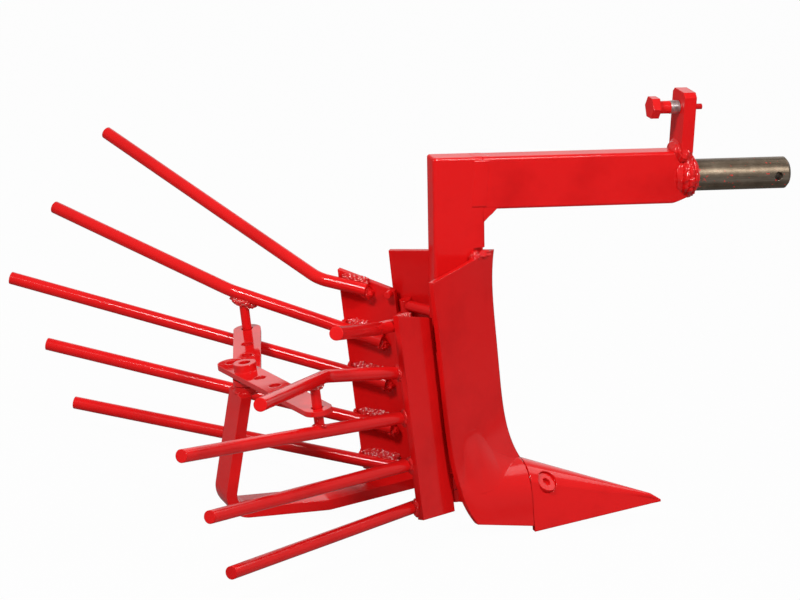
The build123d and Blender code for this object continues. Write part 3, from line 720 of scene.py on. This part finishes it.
# %% [markdown]
# The strip starts on the wall and ends on the shoulder. It leaves both at their own slope, along a smooth curve, so
# that light runs over it without a break. It narrows to nothing at the nose and at the rear edge.

# %% Bend of the boards
BEND_UP, BEND_DOWN = 1.6, 1.9  # rows above and below the crease
BEND_STEPS, BEND_ACROSS = 48, 24
BEND_START, BEND_RUN = 0.02, 0.96
NOSE_RUN, REAR_RUN = 0.60, 0.25
BEND_SINK, BEND_ROOT = 0.03 * MM, 1.0 * MM
SLOPE_STEP = 0.1


def eased(value):
    value = min(max(value, 0.0), 1.0)
    return value * value * (3 - 2 * value)


def bend_row(board, run, sign):
    width = max(0.03, eased(run / NOSE_RUN) * eased((1 - run) / REAR_RUN))
    ends, slopes = [], []
    for row in (CREASE_ROW - BEND_UP * width, CREASE_ROW + BEND_DOWN * width):
        spot, normal = board.find_nearest(board_spot(run, row, sign))[:2]
        above = board.find_nearest(board_spot(run, row - SLOPE_STEP, sign))[0]
        below = board.find_nearest(board_spot(run, row + SLOPE_STEP, sign))[0]
        ends.append(spot - normal * BEND_SINK)
        slopes.append((below - above).normalized())
    pull = (ends[1] - ends[0]).length
    skin, root = [], []
    for i in range(BEND_ACROSS + 1):
        s = i / BEND_ACROSS
        spot = ends[0] * (1 + 2 * s) * (1 - s) ** 2 + ends[1] * s * s * (3 - 2 * s)
        spot = spot + (slopes[0] * s * (1 - s) ** 2 - slopes[1] * s * s * (1 - s)) * pull
        below, normal = board.find_nearest(spot)[:2]
        skin.append(spot)
        root.append(below - normal * BEND_ROOT)
    return skin, root


for side, sign in SIDES.items():
    board = board_tree(side)
    runs = [BEND_START + BEND_RUN * j / BEND_STEPS for j in range(BEND_STEPS + 1)]
    skin, root = zip(*(bend_row(board, run, sign) for run in runs))
    closed_skin(f"board_bend_{side}", skin, root, bend_paint)
    high = max(board.find_nearest(spot)[3] for row in skin for spot in row)
    print(side, "bend stands out", round(high / MM, 2), "mm")

# %% [markdown]
# The mouldboards carry a lump and a short bead of weld where their top edges meet the leg. A ring of weld holds each
# brace to the leg, and two beads across it hold the skid.

# %% Body welds
BOARD_LUMP = (13.5, BAR_HALF + 2.0, -95.5)
BOARD_TOP = ((26.0, -94.0), (21.0, -95.0), (16.0, -97.0))
BRACE_FOOT = (-17.6, 10.4, -151.8)
BRACE_WAY = (-0.45, 0.89)
SKID_X = -26.4
SKID_ACROSS = (-15, -8, 0, 8, 15)
SKID_WELDS = {"top": (-297.6, UP), "under": (-309.4, -UP)}
for side, sign in SIDES.items():
    axes = (AHEAD * 5.0, UP * 5.5, LEFT * sign * 5.0)
    x, y, z = BOARD_LUMP
    lump(f"weld_board_{side}", "plough", at(x, sign * y, z), axes, 14 + sign)
    spots = [at(x, sign * (BAR_HALF + 0.5), z) for x, z in BOARD_TOP]
    bead(f"weld_board_top_{side}", "plough", spots, 4.2, LEFT * sign + UP, 5.0, seed=81 + sign)
    x, y, z = BRACE_FOOT
    ring = ring_points(at(x, sign * y, z), way(BRACE_WAY[0], BRACE_WAY[1] * sign, 0), 5.4, 16)
    bead(f"weld_brace_{side}", "plough", ring, 2.2, LEFT * sign, 2.8, seed=91 + sign, closed=True)
for name, (z, lift) in SKID_WELDS.items():
    spots = [at(SKID_X, y, z) for y in SKID_ACROSS]
    bead(f"weld_skid_{name}", "plough", spots, 3.0, lift, 3.4, seed=len(name))
print("body welds", 3 * len(SIDES) + len(SKID_WELDS))

# %% [markdown]
# Each strap pin hangs from the second tine and stands on the third. The welder ran right round its top, so a saddle
# of weld hugs the tine there, and a smaller lump holds its foot. The places come from the strap joints in the record
# and from the slopes of the two tines.

# %% Strap welds
UPPER_TINE = (24.0, -26.0, 0.3365)  # front u, front v, rise along u
LOWER_TINE = (24.0, -67.5, 0.2718)
SADDLE = ((12.0, 3.8, 0), (-1.6, 6.4, 0), (0, 0, 6.6))
PIN_FOOT = ((7.0, 2.0, 0), (0, 3.2, 0), (0, 0, 5.6))
SADDLE_DOWN, FOOT_UP = 6.2, 5.4
for side, sign in SIDES.items():
    spot = mirrored(Vector(joints[f"strap_{side}"]["pos_m"]), side) - HINGE
    u, n = (spot.dot(axis) / MM for axis in (PLATE_U, PLATE_N))
    upper, lower = (v0 + rise * (u - u0) for u0, v0, rise in (UPPER_TINE, LOWER_TINE))
    name, body = f"weld_strap_pin_{side}", f"grate_{side}"
    spot, axes = grate_at(side, u, upper - SADDLE_DOWN, n), grate_axes(side, SADDLE)
    # the saddle takes the finish with painted glints
    lump(f"{name}_upper", body, spot, axes, seed=21 + sign, material=weld_paint_with_painted_glints)
    spot, axes = grate_at(side, u, lower + FOOT_UP, n), grate_axes(side, PIN_FOOT)
    lump(f"{name}_lower", body, spot, axes, seed=31 + sign)
print("strap pin welds", 2 * len(SIDES))

# %% [markdown]
# The lug with the eye stands on the skid in a rough ring of weld. It leans as the hinges do, so the ring lies square
# to that axis.

# %% Eye weld
EYE = (-205.7, -195.7)  # x, z
EYE_DROP = 6.0
HINGE_LEAN = math.radians(5.92)
EYE_UP = way(-math.sin(HINGE_LEAN), 0, math.cos(HINGE_LEAN))
ring = ring_points(at(EYE[0], 0, EYE[1]) - EYE_UP * EYE_DROP * MM, EYE_UP, 11.0)
bead("weld_eye_lug", "plough", ring, 2.8, EYE_UP, 3.6, seed=101, closed=True)
print("eye weld done")

# %% [markdown]
# The stop bolt was painted in place. Only a short stretch beside the lug came out later and shows its zinc and its
# thread, which is a ridge that climbs one pitch in each turn. It is modelled, because a bump wouldn't break the
# outline.


# %% Stop bolt thread
def zinc(name):
    material, tree, shader, coords = new_material(name)
    cloud = noise_node(tree, coords, scale=300.0, detail=4.0)
    colour = ramp_node(tree, cloud, [(0.35, (0.42, 0.42, 0.41)), (0.65, (0.66, 0.66, 0.64))])
    tree.links.new(colour, shader.inputs["Base Color"])
    tree.links.new(range_node(tree, cloud, 0.3, 0.7, 0.28, 0.42), shader.inputs["Roughness"])
    shader.inputs["Metallic"].default_value = 1.0
    return material


STOP_BOLT_Z = 41.0
THREAD_STEPS, THREAD_SIDES = 72, 32


def thread(name, start, length, radius, pitch, depth):
    bm = bmesh.new()
    rings = []
    for step in range(THREAD_STEPS + 1):
        x = start + length * step / THREAD_STEPS
        ring = []
        for k in range(THREAD_SIDES):
            angle = 2 * math.pi * k / THREAD_SIDES
            climb = (x / pitch - k / THREAD_SIDES) % 1.0
            reach = radius + depth * (1 - abs(2 * climb - 1))
            ring.append(bm.verts.new(arm_at(x, reach * math.cos(angle), STOP_BOLT_Z + reach * math.sin(angle))))
        rings.append(ring)
    for first, second in zip(rings, rings[1:]):
        for k in range(THREAD_SIDES):
            j = (k + 1) % THREAD_SIDES
            bm.faces.new((first[k], first[j], second[j], second[k]))
    bm.faces.new(rings[0])
    bm.faces.new(rings[-1])
    return place_piece(name, finished_mesh(name, bm), "plough", zinc("zinc_plate"))


thread("stop_bolt_thread", start=210.0, length=8.8, radius=6.02, pitch=1.75, depth=0.35)
print("thread done")

# %% [markdown]
# The photograph is taken with a long lens from the right and a little behind, tilted so that the arm lies level.
# The camera is set from its angles and its distance, which were fitted to the edges of the part.

# %% Camera
AZIMUTH = math.radians(21.133)
ELEVATION = math.radians(13.741)
ROLL = math.radians(7.842)
DISTANCE = 4.35
AIM = Vector((-0.0386, 0.0, 0.20945))
FOCAL = 211.5
ahead = Vector(
    (math.sin(AZIMUTH) * math.cos(ELEVATION), math.cos(AZIMUTH) * math.cos(ELEVATION), -math.sin(ELEVATION))
)
camera_data = bpy.data.cameras.new("camera")
camera_data.lens = FOCAL
camera_data.sensor_width = 36.0
camera_data.clip_end = 50.0
camera = bpy.data.objects.new("camera", camera_data)
bpy.context.collection.objects.link(camera)
camera.rotation_mode = "QUATERNION"
camera.rotation_quaternion = ahead.to_track_quat("-Z", "Y") @ Quaternion((0, 0, 1), ROLL)
camera.location = AIM - ahead * DISTANCE
bpy.context.scene.camera = camera
print("camera at", [round(c, 3) for c in camera.location])

# %% [markdown]
# A wide white floor takes the place of the cut-out background. The camera sees it almost as plain white, and a faint
# shadow under the plough still shows that it stands there. The floor itself is grey and darker still in mirrored
# light, because a white one would wash out the red of every upright face.

# %% Floor
FLOOR_HALF = 6.0
FLOOR_DROP = 0.0005
SEEN_WHITE = 0.975
MIRRORED_DARK = 0.45


def floor_material(name):
    material, tree, shader, coords = new_material(name)
    cloud = noise_node(tree, coords, scale=3.0, detail=2.0)
    colour = ramp_node(tree, cloud, [(0.3, (0.35, 0.35, 0.35)), (0.7, (0.37, 0.37, 0.37))])
    rays = tree.nodes.new("ShaderNodeLightPath")
    dark = math_node(tree, "MULTIPLY", rays.outputs["Is Glossy Ray"], MIRRORED_DARK)
    tree.links.new(mix_node(tree, dark, colour, (0, 0, 0, 1)), shader.inputs["Base Color"])
    shader.inputs["Roughness"].default_value = 0.9
    shader.inputs["Specular IOR Level"].default_value = 0.1
    glow = tree.nodes.new("ShaderNodeEmission")
    glow.inputs["Color"].default_value = (1, 1, 1, 1)
    blend = tree.nodes.new("ShaderNodeMixShader")
    seen = math_node(tree, "MULTIPLY", rays.outputs["Is Camera Ray"], SEEN_WHITE)
    tree.links.new(seen, blend.inputs["Fac"])
    tree.links.new(shader.outputs["BSDF"], blend.inputs[1])
    tree.links.new(glow.outputs["Emission"], blend.inputs[2])
    tree.links.new(blend.outputs["Shader"], tree.nodes["Material Output"].inputs["Surface"])
    return material


floor_mesh = bpy.data.meshes.new("floor")
corners = [(x * FLOOR_HALF, y * FLOOR_HALF, 0) for x, y in ((-1, -1), (1, -1), (1, 1), (-1, 1))]
floor_mesh.from_pydata(corners, [], [(0, 1, 2, 3)])
floor_mesh.materials.append(floor_material("white_floor"))
floor = bpy.data.objects.new("floor", floor_mesh)
floor.location.z = -FLOOR_DROP
bpy.context.collection.objects.link(floor)
print("floor done")

# %% [markdown]
# The light comes from two soft boxes, left and right of the camera and above it. The far rods carry a thin bright
# line from the left one, and between them the upright faces are evenly red. A wide weak box ahead of the share puts
# a soft sheen on its top.


# %% Light
def panel(name, place, target, width, power):
    light = bpy.data.lights.new(name, "AREA")
    light.shape = "SQUARE"
    light.size = width
    light.energy = power
    obj = bpy.data.objects.new(name, light)
    obj.location = place
    obj.rotation_mode = "QUATERNION"
    obj.rotation_quaternion = (target - place).to_track_quat("-Z", "Y")
    bpy.context.collection.objects.link(obj)


LIGHT_DISTANCE = 2.6
LIGHTS = {  # turn, height, width, power
    "left": (60.0, 38.0, 0.42, 43.0),
    "right": (-20.0, 38.0, 0.50, 34.0),
    "front": (-108.0, 47.0, 1.10, 8.5),
}
for name, (turn, height, width, power) in LIGHTS.items():
    turn, height = math.radians(turn), math.radians(height)
    level = Vector((-math.sin(turn), -math.cos(turn), 0))
    place = AIM + (level * math.cos(height) + Vector((0, 0, math.sin(height)))) * LIGHT_DISTANCE
    panel(f"soft_box_{name}", place, AIM, width, power)
print("lights", len(LIGHTS))

# %% [markdown]
# The room is dim all round and white where the camera looks past the floor. Flat tops, seen at a low angle, mirror
# what stands behind the plough, so mirrored light finds a bright wall there and nowhere else.

# %% Room
ROOM_LIGHT = 0.40
ROOM_SEEN = 0.60
WALL_LIGHT = 0.60
WALL_FROM, WALL_FULL = 0.86, 0.95  # cosine of the angle to the line of sight


def room(name, behind):
    world = bpy.data.worlds.new(name)
    world.use_nodes = True
    tree = world.node_tree
    background = tree.nodes["Background"]
    coords = tree.nodes.new("ShaderNodeTexCoord")
    rays = tree.nodes.new("ShaderNodeLightPath")
    facing = dot_node(tree, coords.outputs["Generated"], behind)
    wall = range_node(tree, facing, WALL_FROM, WALL_FULL, 0.0, WALL_LIGHT)
    shine = math_node(tree, "MULTIPLY", wall, rays.outputs["Is Glossy Ray"])
    seen = math_node(tree, "MULTIPLY", ROOM_SEEN, rays.outputs["Is Camera Ray"])
    level = math_node(tree, "ADD", math_node(tree, "ADD", ROOM_LIGHT, seen), shine)
    tree.links.new(level, background.inputs["Strength"])
    background.inputs["Color"].default_value = (1, 1, 1, 1)
    bpy.context.scene.world = world


room("room", Vector((ahead.x, ahead.y, -ahead.z)))
bpy.context.scene.view_settings.view_transform = "Standard"
print("room done")
